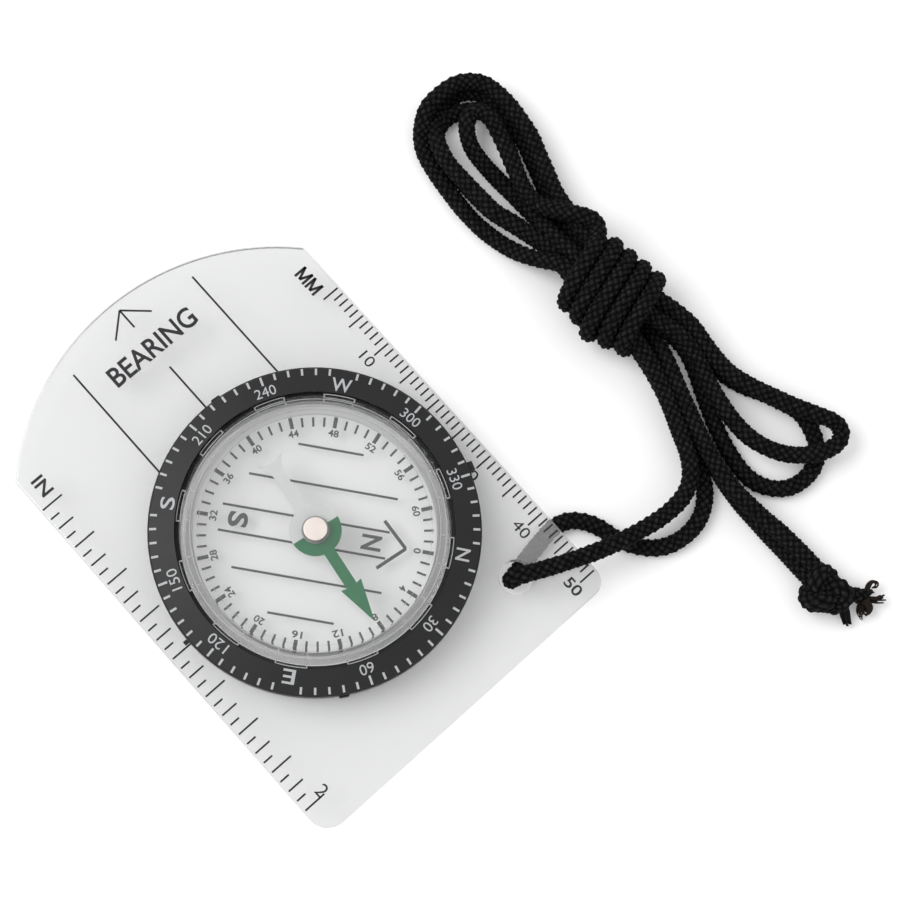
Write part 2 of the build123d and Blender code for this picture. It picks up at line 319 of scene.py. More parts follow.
def pale_floor():
    material, tree, shader = new_material("pale_floor")
    colour = mixed_colour(tree, speckle(tree, 3.0), (0.90, 0.90, 0.90), (0.93, 0.93, 0.93))
    tree.links.new(colour, shader.inputs["Base Color"])
    shader.inputs["Roughness"].default_value = 0.9
    shader.inputs["Specular IOR Level"].default_value = 0.1
    shader.inputs["Emission Color"].default_value = (1, 1, 1, 1)
    shader.inputs["Emission Strength"].default_value = 0.1
    return material


# ---------------------------------------------------------------- printed marks


def bar(bm, start, end, width):
    """Thin raised bar between two points of the print, or of the pale painted highlights on the tabs and
    cover rim.
    """
    start = Vector((*start, 0.0))
    end = Vector((*end, 0.0))
    along = end - start
    side = Vector((-along.y, along.x, 0)).normalized() * width / 2
    corners = [start - side, end - side, end + side, start + side]
    rings = [
        [bm.verts.new((corner + Vector((0, 0, level))) * MM) for corner in corners]
        for level in (-INK / 2, INK / 2)
    ]
    bm.faces.new(rings[0][::-1])
    bm.faces.new(rings[1])
    for here in range(4):
        there = (here + 1) % 4
        bm.faces.new((rings[0][here], rings[0][there], rings[1][there], rings[1][here]))


def lettering(bm, text, middle, size, heading, weight=0.0):
    """Raised lettering of a given width and height. heading is where its tops point."""
    curve = bpy.data.curves.new("lettering", "FONT")
    curve.body = text
    curve.size = 1.0
    curve.extrude = 0.01
    curve.offset = weight
    curve.resolution_u = 4
    curve.fill_mode = "BOTH"
    carrier = new_object("lettering", curve)
    bpy.context.view_layer.update()
    mesh = bpy.data.meshes.new_from_object(carrier)
    corners = np.array([vertex.co for vertex in mesh.vertices])
    low, high = corners.min(0), corners.max(0)
    centre = Vector((low + high) / 2)
    width, height = size
    fit = Matrix.Diagonal((width / (high[0] - low[0]), height / (high[1] - low[1]), INK / 0.02, 1))
    place = Matrix.Translation((*middle, 0)) @ Matrix.Rotation(-radians(heading), 4, "Z")
    mesh.transform(Matrix.Scale(MM, 4) @ place @ fit @ Matrix.Translation(-centre))
    bm.from_mesh(mesh)
    bpy.data.objects.remove(carrier)
    bpy.data.curves.remove(curve)
    bpy.data.meshes.remove(mesh)


def at_heading(radius, heading):
    return (radius * sin(radians(heading)), radius * cos(radians(heading)))


def finish_marks(name, bm, level, body, material):
    """Lifts flat marks onto a surface, whose level is a function of the radius."""
    bmesh.ops.remove_doubles(bm, verts=bm.verts, dist=0.000001)
    for vertex in bm.verts:
        vertex.co.z += level(vertex.co.xy.length / MM) * MM
    mesh = bpy.data.meshes.new(name)
    bm.to_mesh(mesh)
    bm.free()
    mesh.materials.append(material)
    marks = new_object(name, mesh)
    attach(marks, body)
    return marks


TICK_WIDTH = 0.24
GUIDE_WIDTH = 0.26
LETTER_STROKE = 0.36
MM_RULER_ZERO = 22.58
MM_RULER_EDGE = 23.7
INCH_RULER_ZERO = 25.11
INCH_RULER_EDGE = -24.2
SIXTEENTH = 1.5875


def damping_liquid(material):
    """The liquid that fills the capsule round the needle, a hair clear of the plastic. Its profile
    is a radius and a height per corner, from the middle of the floor to the middle of the lid."""
    profile = [
        (0.0, 3.03), (1.13, 3.03), (1.13, 2.33), (3.13, 2.33), (3.13, 1.85), (15.66, 1.85),
        (15.66, 6.36), (14.86, 6.36), (14.86, 7.37), (0.0, 7.37),
    ]
    bm = bmesh.new()
    corners = [bm.verts.new((radius * MM, 0, height * MM)) for radius, height in profile]
    lines = [bm.edges.new(pair) for pair in zip(corners, corners[1:])]
    bmesh.ops.spin(
        bm, geom=corners + lines, cent=(0, 0, 0), axis=(0, 0, 1), angle=tau, steps=128,
        use_duplicate=False,
    )
    bmesh.ops.remove_doubles(bm, verts=bm.verts, dist=0.000001)
    bmesh.ops.recalc_face_normals(bm, faces=bm.faces)
    mesh = bpy.data.meshes.new("damping_liquid")
    bm.to_mesh(mesh)
    bm.free()
    mesh.materials.append(material)
    liquid = new_object("damping_liquid", mesh)
    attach(liquid, "dial")
    return liquid


def hub_cap(material):
    """Pressed cap on top of the needle's hub."""
    mesh = bpy.data.meshes.new("hub_cap")
    bm = bmesh.new()
    bmesh.ops.create_cone(
        bm, cap_ends=True, segments=96, radius1=CAP_RADIUS * MM, radius2=CAP_RADIUS * MM,
        depth=CAP_DEPTH * MM,
    )
    rims = [edge for edge in bm.edges if abs(edge.verts[0].co.z - edge.verts[1].co.z) < 1e-9]
    bmesh.ops.bevel(bm, geom=rims, offset=CAP_ROUND * MM, segments=4, affect="EDGES", profile=0.5)
    bmesh.ops.translate(bm, verts=bm.verts, vec=(0, 0, CAP_MIDDLE * MM))
    bm.to_mesh(mesh)
    bm.free()
    mesh.materials.append(material)
    cap = new_object("hub_cap", mesh)
    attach(cap, "needle")
    return cap


def tab_lips(material):
    """Pale painted highlights, drawn as thin bars: narrow rims round the slots in the tabs that hold the
    capsule in the bezel,
    and fine lines on the rim of its cover: two circles, and short ones in line with the tabs' ends."""
    bm = bmesh.new()
    for radius in COVER_RIM_GLINT_RADII:
        for heading in range(0, 360, 3):
            bar(bm, at_heading(radius, heading), at_heading(radius, heading + 3), 0.07)
    slot_inner, slot_outer = TAB_SLOT_EDGES
    rim_inner, rim_outer = COVER_RIM_GLINT_RADII
    cover_edge = (rim_outer + slot_inner) / 2
    for number in range(TAB_COUNT):
        middle = NORTH_HEADING + number * 360 / TAB_COUNT
        edges = [middle + share * TAB_ANGLE / 6 for share in range(-3, 4)]
        for first, second in zip(edges, edges[1:]):
            for radius in TAB_SLOT_EDGES:
                bar(bm, at_heading(radius, first), at_heading(radius, second), 0.11)
        for heading in (edges[0], edges[-1]):
            bar(bm, at_heading(slot_inner - 0.05, heading), at_heading(slot_outer + 0.05, heading), 0.16)
            bar(bm, at_heading(rim_inner, heading), at_heading(rim_outer, heading), 0.1)

    def level(radius):
        return TAB_TOP + 2 * INK_GAP if radius > cover_edge else COVER_TOP + INK_GAP

    return finish_marks("tab_lips", bm, level, "dial", material)


def letter_m(bm, middle):
    """Bold capital M whose top points to +X."""
    shape = [(-0.95, 0.72), (0.95, 0.72), (-0.8, 0.0), (0.95, -0.72), (-0.95, -0.72)]
    corners = [(middle[0] + x, middle[1] + y) for x, y in shape]
    for start, end in zip(corners, corners[1:]):
        bar(bm, start, end, LETTER_STROKE)


def plate_print(ink):
    """Rulers, bearing arrow and guide lines on the plate's upper face."""
    bm = bmesh.new()
    for number in range(51):
        reach = 2.45 if number % 5 == 0 else 1.5
        y = MM_RULER_ZERO - number
        bar(bm, (MM_RULER_EDGE - reach, y), (MM_RULER_EDGE, y), TICK_WIDTH)
    for number in range(33):
        reach = 3.15 if number % 4 == 0 else 2.35 if number % 2 == 0 else 1.4
        y = INCH_RULER_ZERO - number * SIXTEENTH
        bar(bm, (INCH_RULER_EDGE, y), (INCH_RULER_EDGE + reach, y), TICK_WIDTH)
    for tens in range(1, 6):
        heavy = 0.014 if tens == 5 else 0.0
        width = 2.0 if tens == 1 else 2.5
        middle = (20.25, MM_RULER_ZERO - tens * 10 + 0.2)
        lettering(bm, str(tens * 10), middle, (width, 1.5), 90, heavy)
    lettering(bm, "2", (-21.0, -25.2), (1.15, 1.75), 90)
    lettering(bm, "1", (-21.0, 0.2), (0.6, 1.75), 90)
    lettering(bm, "IN", (-22.2, 27.6), (2.6, 1.8), 90, 0.018)
    for y in (26.75, 24.75):
        letter_m(bm, (21.45, y))
    lettering(bm, "BEARING", (0.25, 32.4), (13.7, 2.8), 0, 0.016)
    arrow_tip = (0.2, 38.9)
    lines = [
        ((-9.85, 36.2), (-9.85, 18.5)), ((10.3, 36.2), (10.3, 18.0)), ((0.2, 28.9), (0.2, 20.9)),
        (arrow_tip, (0.2, 35.9)), (arrow_tip, (-2.8, 36.1)), (arrow_tip, (3.3, 36.1)),
    ]
    for start, end in lines:
        bar(bm, start, end, GUIDE_WIDTH)
    return finish_marks("plate_print", bm, lambda radius: PLATE_TOP + INK_GAP, "plate", ink)


def ring_top(radius):
    """Level of the bezel's sloping upper face."""
    share = (RING_RADIUS - radius) / (RING_RADIUS - RING_INNER_EDGE)
    return RING_RIM_TOP + share * (RING_INNER_TOP - RING_RIM_TOP)


def bezel_print(ink):
    """Degree marks, numbers and compass points on the bezel."""
    bm = bmesh.new()
    for step in range(72):
        degrees = step * 5
        if degrees % 90 == 0:
            continue
        inner = 19.85 if degrees % 30 == 0 else 20.15
        heading = NORTH_HEADING + degrees
        bar(bm, at_heading(inner, heading), at_heading(RING_RADIUS - 0.25, heading), 0.3)
    for step in range(12):
        degrees = step * 30
        heading = NORTH_HEADING + degrees
        if degrees % 90 == 0:
            letter = "NESW"[step // 3]
            width = 2.6 if letter == "W" else 1.6
            lettering(bm, letter, at_heading(19.05, heading), (width, 1.85), heading, 0.012)
        else:
            text = str(degrees)
            width = 0.92 * len(text)
            lettering(bm, text, at_heading(18.95, heading), (width, 1.35), heading)
    return finish_marks("bezel_print", bm, lambda r: ring_top(r) + 0.012, "dial", ink)


def dial_point(across, along):
    """Point on the dial: across to the east side, along towards its north."""
    east = Vector(at_heading(1, NORTH_HEADING + 90))
    north = Vector(at_heading(1, NORTH_HEADING))
    return tuple(east * across + north * along)


def dial_print(ink):
    """64-part scale, orienting lines and north arrow on the capsule's floor."""
    bm = bmesh.new()
    for number in range(64):
        bold = number % 4 == 0
        heading = NORTH_HEADING + number * 360 / 64
        outer = 15.45 if bold else 15.25
        bar(bm, at_heading(14.0, heading), at_heading(outer, heading), 0.5 if bold else 0.29)
        if bold:
            text = str(number)
            size = (0.68 * len(text), 0.95)
            lettering(bm, text, at_heading(13.3, heading), size, heading, 0.024)
    for across, low, high in ((1.72, -12.4, 9.4), (6.2, -9.8, 9.7), (11.15, -4.25, 4.35)):
        for side in (-across, across):
            bar(bm, dial_point(side, low), dial_point(side, high), 0.3)
    for side in (-3.14, 3.14):
        bar(bm, dial_point(side, 8.5), dial_point(0, 11.8), 0.44)
    lettering(bm, "S", dial_point(0, -10.1), (2.0, 2.6), NORTH_HEADING, 0.03)
    lettering(bm, "N", dial_point(0, 7.3), (2.0, 2.6), NORTH_HEADING, 0.026)
    return finish_marks("dial_print", bm, lambda radius: DIAL_FLOOR + 0.012, "dial", ink)


# ---------------------------------------------------------------- braided cord

CORD_DIAMETER = 2.2
CORD_RADIUS = CORD_DIAMETER / 2
YARNS = 6
YARN_PITCH = 1.14
SIDES = 40
STEP = 0.16

MID_HOLE = (15.0, -21.2, 3.4)
# The strand that leaves over the plate, from the hole to the binding of the hank.
UPPER_STRAND = [
    (15.0, -21.2, 5.6),
    (20.0, -23.7, 5.6),
    (26.3, -26.3, 5.5),
    (31.5, -27.6, 4.4),
    (36.2, -28.4, 3.6),
    (40.4, -28.0, 3.4),
    (43.2, -25.5, 3.4),
    (45.0, -21.2, 3.4),
    (46.9, -16.6, 3.4),
    (48.3, -12.0, 3.8),
    (48.8, -6.5, 5.0),
]
# The strand that leaves under the plate, along the surface that the compass stands on.
LOWER_STRAND = [
    (15.0, -21.2, 1.2),
    (19.8, -20.2, 1.2),
    (25.4, -19.4, 1.15),
    (28.5, -22.4, 1.1),
    (29.6, -27.4, 1.1),
    (33.2, -31.7, 1.1),
    (39.2, -32.2, 1.1),
    (43.3, -29.0, 1.1),
    (44.9, -24.2, 1.1),
    (46.7, -19.2, 1.1),
    (48.3, -13.6, 1.2),
    (49.1, -6.5, 2.6),
]
# The two strands that run one on the other from under the binding to the end knot.
TAIL_UPPER = [
    (51.5, -6.8, 1.3),
    (51.5, -8.9, 2.2),
    (50.6, -12.4, 3.3),
    (48.9, -16.8, 3.4),
    (47.3, -21.4, 3.4),
    (45.8, -26.4, 3.4),
    (44.9, -31.6, 3.4),
    (45.3, -36.8, 3.4),
    (46.1, -41.6, 2.9),
    (46.1, -48.6, 3.0),
]
TAIL_LOWER = [
    (51.2, -9.3, 1.15),
    (50.9, -11.3, 1.1),
    (50.4, -13.6, 1.1),
    (49.1, -17.0, 1.1),
    (47.8, -21.6, 1.1),
    (46.2, -26.6, 1.1),
    (45.0, -31.8, 1.1),
    (44.9, -36.8, 1.1),
    (44.9, -41.8, 1.2),
    (44.6, -48.4, 2.4),
]
# Long loops above the binding, each from its left-hand leg round to its right-hand leg.
OUTER_LONG_LOOP = [
    (48.4, 5.3, 5.2),
    (46.4, 8.5, 3.4),
    (45.3, 11.8, 1.6),
    (44.6, 15.1, 1.1),
    (44.2, 18.4, 1.1),
    (44.4, 22.4, 1.1),
    (44.9, 26.3, 1.1),
    (45.4, 29.4, 1.2),
    (46.6, 31.6, 1.8),
    (48.0, 32.9, 2.8),
    (49.9, 33.9, 3.4),
    (52.3, 34.1, 3.4),
    (54.6, 33.9, 3.4),
    (56.2, 33.2, 3.4),
    (57.6, 31.8, 3.4),
    (58.2, 29.9, 3.4),
    (58.4, 27.4, 3.4),
    (58.1, 24.4, 3.4),
    (57.7, 21.8, 3.4),
    (56.8, 19.4, 3.4),
    (55.8, 16.7, 3.4),
    (54.7, 13.7, 3.5),
    (54.0, 10.8, 4.2),
    (53.5, 6.4, 5.4),
]
SECOND_LONG_LOOP = [
    (48.9, 8.8, 3.4),
    (48.3, 11.5, 3.3),
    (47.5, 14.6, 3.3),
    (46.6, 17.2, 3.3),
    (46.6, 19.9, 3.3),
    (46.5, 23.1, 3.3),
    (46.5, 26.1, 3.3),
    (47.1, 28.5, 3.2),
    (48.1, 30.4, 2.6),
    (49.7, 32.1, 1.6),
    (52.4, 33.4, 1.1),
    (55.2, 33.0, 1.1),
    (57.0, 31.4, 1.1),
    (57.6, 29.6, 1.1),
    (57.7, 27.3, 1.1),
    (57.4, 24.6, 1.1),
    (57.0, 22.0, 1.1),
    (56.2, 19.6, 1.1),
    (55.2, 16.9, 1.1),
    (54.1, 13.9, 1.1),
    (53.5, 11.0, 1.7),
    (53.0, 6.9, 3.0),
]
INNER_LONG_LOOP = [
    (50.2, 8.0, 4.6),
    (50.4, 11.9, 3.0),
    (50.7, 14.9, 1.8),
    (50.8, 17.8, 1.2),
    (50.7, 20.6, 1.1),
    (50.6, 23.5, 1.4),
    (50.6, 25.9, 2.4),
    (51.3, 27.6, 3.2),
    (52.3, 28.8, 3.4),
    (53.7, 29.4, 3.4),
    (54.9, 28.6, 3.4),
    (55.2, 26.8, 3.4),
    (54.4, 24.3, 3.4),
    (53.7, 22.1, 3.4),
    (52.7, 19.5, 3.4),
    (51.9, 17.1, 3.4),
    (51.4, 14.4, 3.8),
    (52.3, 11.4, 5.6),
    (54.0, 8.8, 6.9),
    (55.2, 6.5, 6.9),
]
LOW_LONG_LOOP = [
    (49.3, 9.0, 1.4),
    (48.7, 11.7, 1.1),
    (47.9, 14.9, 1.1),
    (47.0, 17.4, 1.1),
    (46.9, 20.2, 1.1),
    (46.8, 23.4, 1.1),
    (46.9, 26.4, 1.1),
    (47.4, 28.8, 1.1),
    (48.4, 30.5, 1.1),
    (50.2, 31.4, 1.1),
    (52.2, 31.4, 1.1),
    (53.9, 30.6, 1.1),
    (55.5, 29.4, 1.1),
    (56.2, 27.6, 1.1),
    (56.0, 25.7, 1.1),
    (55.3, 24.0, 1.1),
    (54.5, 22.1, 1.1),
    (53.4, 19.7, 1.1),
    (52.5, 17.3, 1.1),
    (51.9, 14.7, 1.3),
    (52.0, 11.2, 1.6),
    (51.6, 8.0, 1.3),
    (51.3, 5.6, 1.15),
    (52.1, 3.9, 1.2),
]
# Short loops below the binding, each out along its right-hand leg and back.
UPPER_SHORT_LOOP = [
    (56.0, -11.0, 4.2),
    (55.6, -15.2, 3.4),
    (55.3, -17.5, 3.4),
    (55.4, -20.2, 3.4),
    (56.1, -22.5, 3.4),
    (56.9, -24.5, 3.4),
    (58.6, -28.5, 3.4),
    (60.2, -31.6, 3.4),
    (61.5, -33.9, 3.4),
    (61.4, -35.5, 3.4),
    (60.1, -36.5, 3.4),
    (58.2, -36.3, 3.4),
    (55.8, -35.2, 3.4),
    (53.0, -32.5, 3.3),
    (51.3, -28.4, 3.3),
    (51.3, -24.4, 3.3),
    (52.0, -20.6, 3.3),
    (53.2, -16.6, 3.4),
    (54.0, -12.5, 4.2),
]
LOWER_SHORT_LOOP = [
    (56.0, -11.4, 2.0),
    (55.6, -15.2, 1.1),
    (55.3, -17.5, 1.1),
    (55.4, -20.2, 1.1),
    (56.3, -22.6, 1.1),
    (57.5, -24.6, 1.1),
    (59.1, -28.4, 1.1),
    (59.6, -30.4, 1.1),
    (59.0, -33.3, 1.1),
    (57.7, -35.5, 1.1),
    (55.3, -37.0, 1.1),
    (52.0, -36.9, 1.1),
    (49.7, -35.4, 1.1),
    (48.1, -32.6, 1.1),
    (48.2, -29.0, 1.1),
    (49.3, -24.8, 1.1),
    (51.2, -20.2, 1.1),
    (52.9, -16.6, 1.1),
    (53.9, -12.4, 2.2),
]
# Binding round the middle of the hank.
BINDING_CENTRE = (51.1, -1.5)
BINDING_LEVEL = 4.6
HANK_TILT = 8.3
TURN_HALF_WIDTH = 4.85
TURN_HALF_HEIGHT = 3.45
TURN_PITCH = 4.8
TURN_POINTS = 16
COLUMN_SPACING = 2.3


def hank_point(across, along, height):
    """Point in the binding: across to the right, along from the long loops to the short ones."""
    tilt = radians(HANK_TILT)
    x = BINDING_CENTRE[0] + across * cos(tilt) + along * sin(tilt)
    y = BINDING_CENTRE[1] + across * sin(tilt) - along * cos(tilt)
    return (x, y, height)


def through_core(column, row, downwards):
    """Three points along one of the strands that the binding is wound round."""
    across = column * COLUMN_SPACING
    height = BINDING_LEVEL + row * CORD_RADIUS
    points = [hank_point(across, along, height) for along in (-4.0, 0.0, 4.0)]
    return points if downwards else points[::-1]


def wound_turns(first_top, start, end, bulges):
    """Turns of the binding, over the top from right to left, each with its own bulge to the left.
    first_top is where the first one crosses the top, start and end are counted in turns."""
    points = []
    for step in range(round(start * TURN_POINTS), round(end * TURN_POINTS) + 1):
        share = step / TURN_POINTS
        angle = tau * share
        along = first_top + TURN_PITCH * (share - 0.25)
        bulge = np.interp(share, [turn + 0.5 for turn in range(len(bulges))], bulges)
        across = TURN_HALF_WIDTH * cos(angle) - bulge * (1 - cos(angle)) / 2
        points.append(hank_point(across, along, BINDING_LEVEL + TURN_HALF_HEIGHT * sin(angle)))
    return points


FIRST_CORD = (
    [MID_HOLE] + UPPER_STRAND + through_core(-1, 1, False)[1:]
    + OUTER_LONG_LOOP + through_core(1, 1, True)
    + UPPER_SHORT_LOOP + through_core(0, 1, False)
    + INNER_LONG_LOOP + wound_turns(-4.9, 0.125, 2.6875, (0.7, 2.1, 0.5))
    + TAIL_LOWER
)
SECOND_CORD = (
    [MID_HOLE] + LOWER_STRAND + through_core(-1, -1, False)[1:]
    + SECOND_LONG_LOOP + through_core(1, -1, True)
    + LOWER_SHORT_LOOP + through_core(0, -1, False)
    + LOW_LONG_LOOP + wound_turns(-2.5, -0.125, 1.6875, (1.1, 1.2))
    + TAIL_UPPER
)


def spline_points(points):
    """Points along the NURBS spline that has the given control points."""
    curve = bpy.data.curves.new("route", "CURVE")
    curve.dimensions = "3D"
    spline = curve.splines.new("NURBS")
    spline.points.add(len(points) - 1)
    for control, point in zip(spline.points, metres(points)):
        control.co = (*point, 1)
    spline.order_u = 3
    spline.use_endpoint_u = True
    spline.resolution_u = 16
    carrier = new_object("route", curve)
    bpy.context.view_layer.update()
    mesh = bpy.data.meshes.new_from_object(carrier)
    path = np.array([vertex.co for vertex in mesh.vertices])
    bpy.data.objects.remove(carrier)
    bpy.data.curves.remove(curve)
    bpy.data.meshes.remove(mesh)
    return path


def even_steps(path, step):
    """The same line with points at even distances along it."""
    lengths = np.linalg.norm(np.diff(path, axis=0), axis=1)
    travelled = np.concatenate([[0.0], np.cumsum(lengths)])
    count = max(2, round(travelled[-1] / step))
    marks = np.linspace(0.0, travelled[-1], count + 1)
    return np.stack([np.interp(marks, travelled, path[:, axis]) for axis in range(3)], axis=1)


def carried_frames(path):
    """Tangent, normal and binormal at each point, turning as little as possible."""
    tangents = np.gradient(path, axis=0)
    tangents /= np.linalg.norm(tangents, axis=1, keepdims=True)
    normals = np.empty_like(path)
    guide = np.array([0.0, 0.0, 1.0])
    if abs(tangents[0] @ guide) > 0.9:
        guide = np.array([1.0, 0.0, 0.0])
    for place, tangent in enumerate(tangents):
        guide = guide - tangent * (guide @ tangent)
        guide /= np.linalg.norm(guide)
        normals[place] = guide
    return tangents, normals, np.cross(tangents, normals)


def braid_relief(angle, travelled):
    """Height of a plain two-way braid, from 0 in the gaps to 1 on the yarns."""
    right = YARNS * angle / tau + travelled / YARN_PITCH
    left = YARNS * angle / tau - travelled / YARN_PITCH
    over = (np.floor(right) + np.floor(left)) % 2 == 0
    right = right - np.floor(right) - 0.5
    left = left - np.floor(left) - 0.5
    across = np.where(over, right, left)
    along = np.where(over, left, right)
    return np.cos(pi * across) ** 1.6 * np.cos(pi * along) ** 0.5


def braided_tube(name, path, radius, material):
    """Closed tube along a path, with the relief of a braid in its surface."""
    path = even_steps(path, STEP * MM)
    _, normals, binormals = carried_frames(path)
    count = len(path)
    angle = np.linspace(0, tau, SIDES, endpoint=False)[None, :]
    travelled = (np.arange(count) * STEP)[:, None]
    relief = braid_relief(angle + travelled * 0, travelled + angle * 0)
    wander = 1 + 0.025 * np.sin(travelled * 0.9) * np.sin(travelled * 0.37 + 1.0)
    around = radius * wander * (0.86 + 0.26 * relief)
    spokes = normals[:, None, :] * np.cos(angle)[:, :, None]
    spokes = spokes + binormals[:, None, :] * np.sin(angle)[:, :, None]
    surface = path[:, None, :] + spokes * (around * MM)[:, :, None]
    surface[:, :, 2] = np.maximum(surface[:, :, 2], 0.0)
    vertices = surface.reshape(-1, 3)
    ring, side = np.meshgrid(np.arange(count - 1), np.arange(SIDES), indexing="ij")
    after = (side + 1) % SIDES
    faces = np.stack([
        ring * SIDES + side, ring * SIDES + after,
        (ring + 1) * SIDES + after, (ring + 1) * SIDES + side,
    ], axis=-1).reshape(-1, 4).tolist()
    last = (count - 1) * SIDES
    faces.append(list(range(SIDES))[::-1])
    faces.append([last + side for side in range(SIDES)])
    mesh = bpy.data.meshes.new(name)
    mesh.from_pydata(vertices.tolist(), [], faces)
    # yarn_height also drives the braid material's painted highlights on the yarns and painted shade in the
    # gaps.
    height = mesh.attributes.new("yarn_height", "FLOAT", "POINT")
    height.data.foreach_set("value", relief.reshape(-1).astype(np.float32))
    mesh.polygons.foreach_set("use_smooth", [True] * len(mesh.polygons))
    mesh.materials.append(material)
    return new_object(name, mesh)


def free_cord(name, controls, material, stands_for):
    """One strand of the neck cord, from the middle of the hole to the end knot."""
    path = spline_points(controls)
    strand = braided_tube(name, path, CORD_RADIUS, material)
    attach(strand, "plate")
    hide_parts(*stands_for)
    return strand, path


# ---------------------------------------------------------------- end knot and frayed ends

KNOT_CENTRE = Vector((44.9, -49.5, 2.9))
KNOT_TURN = radians(20)
KNOT_LENGTH = 0.80
KNOT_BREADTH = 0.84
KNOT_RISE = 0.95
KNOT_BRAID_RADIUS = 1.25
STUB_RADIUS = 1.0


def end_knot(material):
    """Overhand knot of the doubled cord: one thick braid that winds through itself."""
    points = []
    for step in range(96):
        angle = tau * step / 96
        x = KNOT_LENGTH * (sin(angle) + 2.0 * sin(2 * angle))
        y = KNOT_BREADTH * (cos(angle) - 2.0 * cos(2 * angle))
        z = -KNOT_RISE * sin(3 * angle)
        points.append(Vector((x, y, z)))
    points.append(points[0])
    turn = Matrix.Rotation(KNOT_TURN, 3, "Z")
    path = np.array([(turn @ point + KNOT_CENTRE) * MM for point in points])
    knot = braided_tube("knotted_end", path, KNOT_BRAID_RADIUS, material)
    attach(knot, "plate")
    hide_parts("end_knot")
    return knot


# Each lock of filaments at the cut ends: its radius, then the points that it follows.
LONG_END_LOCKS = [
    (0.34, [(48.9, -53.0, 1.7), (49.6, -53.1, 1.8), (50.3, -52.7, 1.9), (51.0, -52.7, 2.0),
            (51.3, -53.2, 2.0), (50.9, -53.6, 2.0), (50.4, -53.4, 2.1)]),
    (0.42, [(48.6, -53.3, 1.5), (49.3, -53.6, 1.6), (49.9, -53.6, 1.5), (50.2, -53.8, 1.4)]),
    (0.40, [(48.5, -53.5, 1.4), (49.2, -54.3, 1.4), (49.8, -54.9, 1.5), (50.7, -55.1, 1.7)]),
    (0.30, [(48.5, -53.6, 1.8), (49.2, -54.5, 1.9), (49.7, -55.2, 1.8), (50.3, -55.6, 1.7)]),
    (0.52, [(48.3, -53.6, 1.3), (48.6, -54.4, 1.2), (48.2, -55.2, 1.1), (47.5, -55.6, 1.0)]),
    (0.48, [(48.1, -53.8, 1.9), (48.4, -54.6, 1.8), (48.0, -55.3, 1.6), (47.3, -55.5, 1.3)]),
    (0.40, [(47.9, -53.9, 1.2), (47.8, -54.6, 1.0), (47.4, -55.1, 0.9), (47.7, -55.6, 0.8)]),
    (0.22, [(47.6, -53.9, 1.6), (47.1, -54.5, 1.6), (46.6, -54.9, 1.3), (46.3, -55.4, 1.0)]),
    (0.18, [(47.6, -53.8, 1.3), (47.1, -54.2, 1.0), (46.8, -54.9, 0.8), (46.8, -55.5, 0.7)]),
]
SHORT_END_LOCKS = [
    (0.50, [(46.0, -51.9, 1.9), (45.8, -52.9, 1.5), (45.1, -53.7, 1.1), (44.7, -54.7, 0.8)]),
    (0.44, [(45.8, -52.1, 1.3), (45.4, -53.0, 1.0), (44.8, -53.7, 0.8), (44.3, -54.7, 0.7)]),
    (0.36, [(46.3, -52.1, 1.6), (46.2, -53.0, 1.4), (45.5, -53.9, 1.2), (45.1, -54.8, 1.1)]),
]


def fray(name, locks, node, material):
    """Cut end whose braid has come apart into locks of filaments."""
    bm = bmesh.new()
    for radius, points in locks:
        for _ in range(3):
            shift = Vector([random.uniform(-0.28, 0.28) for _ in range(3)])
            lock_tube(bm, [Vector(point) + shift for point in points], radius * 0.62)
    mesh = bpy.data.meshes.new(name)
    bm.to_mesh(mesh)
    bm.free()
    mesh.polygons.foreach_set("use_smooth", [True] * len(mesh.polygons))
    mesh.materials.append(material)
    made = new_object(name, mesh)
    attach(made, "plate")
    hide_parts(node)
    return made


def cut_stub(material):
    """The last of the braid between the end knot and its long cut end."""
    path = spline_points([(45.9, -50.4, 2.3), (47.3, -52.0, 1.9), (48.9, -53.8, 1.5)])
    stub = braided_tube("cut_stub", path, STUB_RADIUS, material)
    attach(stub, "plate")
    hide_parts("cut_end_long")
    return stub


def lock_tube(bm, points, radius):
    """Tapering lock of filaments with a fluted surface."""
    path = even_steps(spline_points(points), 0.18 * MM)
    _, normals, binormals = carried_frames(path)
    count = len(path)
    sides = 9
    rings = []
    for place in range(count):
        share = place / (count - 1)
        thick = radius * (1 - 0.55 * share**2) * MM
        ring = []
        for side in range(sides):
            angle = tau * side / sides + 2.5 * share
            flute = thick * (0.85 + 0.3 * (side % 2))
            offset = normals[place] * cos(angle) + binormals[place] * sin(angle)
            ring.append(bm.verts.new(path[place] + offset * flute))
        rings.append(ring)
    for lower, upper in zip(rings, rings[1:]):
        for side in range(sides):
            after = (side + 1) % sides
            bm.faces.new((lower[side], lower[after], upper[after], upper[side]))
    bm.faces.new(rings[0][::-1])
    bm.faces.new(rings[-1])


# ---------------------------------------------------------------- camera, light and floor


def place_camera():
    data = bpy.data.cameras.new("camera")
    data.sensor_width = 36.0
    data.lens = 86.63
    camera = new_object("camera", data)
    right = Vector((0.7419143, -0.6672813, 0.0655658))
    up = Vector((0.6455774, 0.7373298, 0.1989337))
    back = right.cross(up)
    camera.matrix_world = Matrix.Translation(Vector((-30.72, -33.01, 279.79)) * MM) @ Matrix(
        (right, up, back)
    ).transposed().to_4x4()
    bpy.context.scene.camera = camera


def soft_light(name, place, aim, size, power):
    data = bpy.data.lights.new(name, "AREA")
    data.shape = "DISK"
    data.size = size
    data.energy = power
    light = new_object(name, data)
    light.location = place
    light.rotation_euler = (Vector(aim) - Vector(place)).to_track_quat("-Z", "Y").to_euler()
    return light


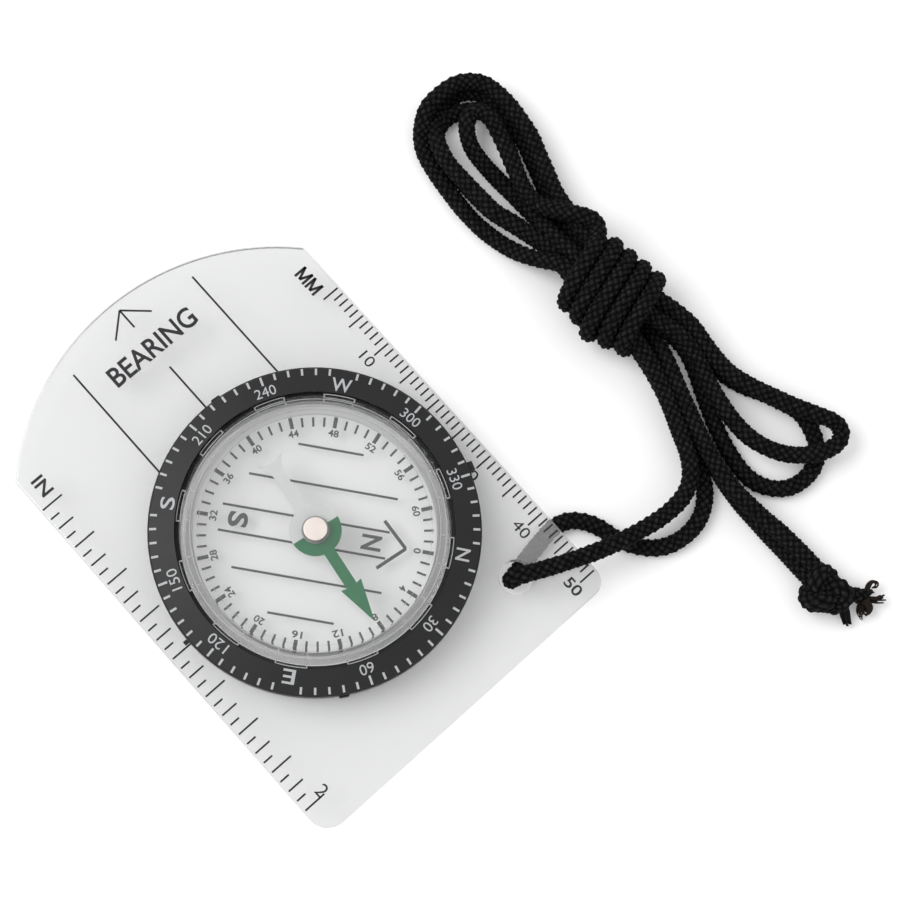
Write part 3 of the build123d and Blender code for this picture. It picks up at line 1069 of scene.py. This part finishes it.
def studio():
    scene = bpy.context.scene
    scene.view_settings.view_transform = "Standard"
    world = bpy.data.worlds.new("studio")
    world.use_nodes = True
    background = world.node_tree.nodes["Background"]
    background.inputs["Color"].default_value = (1, 1, 1, 1)
    background.inputs["Strength"].default_value = 0.8
    scene.world = world
    soft_light("key", (-0.25, 0.35, 0.6), (0.01, 0, 0), 0.5, 2.8)
    mesh = bpy.data.meshes.new("floor")
    bm = bmesh.new()
    bmesh.ops.create_grid(bm, x_segments=4, y_segments=4, size=3.0)
    bmesh.ops.translate(bm, verts=bm.verts, vec=(0, 0, -0.00005))
    bm.to_mesh(mesh)
    bm.free()
    mesh.materials.append(pale_floor())
    new_object("floor", mesh)


# ---------------------------------------------------------------- the object


def paint(node, material):
    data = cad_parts[node].data
    data.materials.clear()
    data.materials.append(material)


def build():
    plate = clear_plastic(
        "clear_acrylic", (0.76, 0.762, 0.765), transmission=0.86, rough=0.05, waviness=0.05
    )
    capsule = clear_plastic(
        "clear_capsule_plastic", (0.97, 0.975, 0.972), transmission=1.0, rough=0.03,
        waviness=0.03, wall_share=0.92, wall_radius=CAPSULE_WALL_START,
    )
    liquid = clear_plastic(
        "clear_liquid", (0.99, 0.992, 0.99), transmission=1.0, rough=0.0, waviness=0.0,
        wall_share=1.0,
    )
    paint("baseplate", plate)
    paint("capsule_base", capsule)
    paint("capsule_cover", capsule)
    paint("bezel_ring", black_moulding())
    paint("pivot_pin", turned_metal("pin_steel", (0.45, 0.45, 0.46), (0.6, 0.6, 0.6), 0.25))
    paint("compass_needle", needle_paint())
    paint("needle_hub", hub_metal())
    paint("jewel_cup", ruby())
    damping_liquid(liquid)
    hub_cap(turned_metal("cap_metal", (0.74, 0.65, 0.61), (0.86, 0.77, 0.72), 0.3))
    # Pale painted highlights on the tabs' edges and the cover's rim.
    tab_lips(printed_ink("glint_paint", (0.34, 0.345, 0.34), (0.58, 0.585, 0.58), 0.25))
    dark_ink = printed_ink("dark_ink", (0.012, 0.012, 0.014), (0.03, 0.03, 0.033), 0.5)
    pale_ink = printed_ink("pale_ink", (0.36, 0.37, 0.38), (0.47, 0.48, 0.49), 0.5)
    plate_print(dark_ink)
    bezel_print(pale_ink)
    dial_print(dark_ink)
    braid = braided_nylon()
    singed = frayed_nylon("singed_nylon", (0.0022, 0.0021, 0.002), (0.028, 0.018, 0.013))
    loose = frayed_nylon("loose_nylon", (0.001, 0.001, 0.001), (0.014, 0.011, 0.009))
    knot = end_knot(braid)
    stub = cut_stub(braid)
    long_end = fray("frayed_end_long", LONG_END_LOCKS, "cut_end_long", singed)
    short_end = fray("frayed_end_short", SHORT_END_LOCKS, "cut_end_short", loose)
    hank = ("hank_long_loops", "hank_short_loops", "hank_binding", "lanyard_strands")
    first, first_path = free_cord("cord_first", FIRST_CORD, braid, hank + ("tail_lower",))
    second, second_path = free_cord("cord_second", SECOND_CORD, braid, hank + ("tail_upper",))


place_camera()
studio()
build()
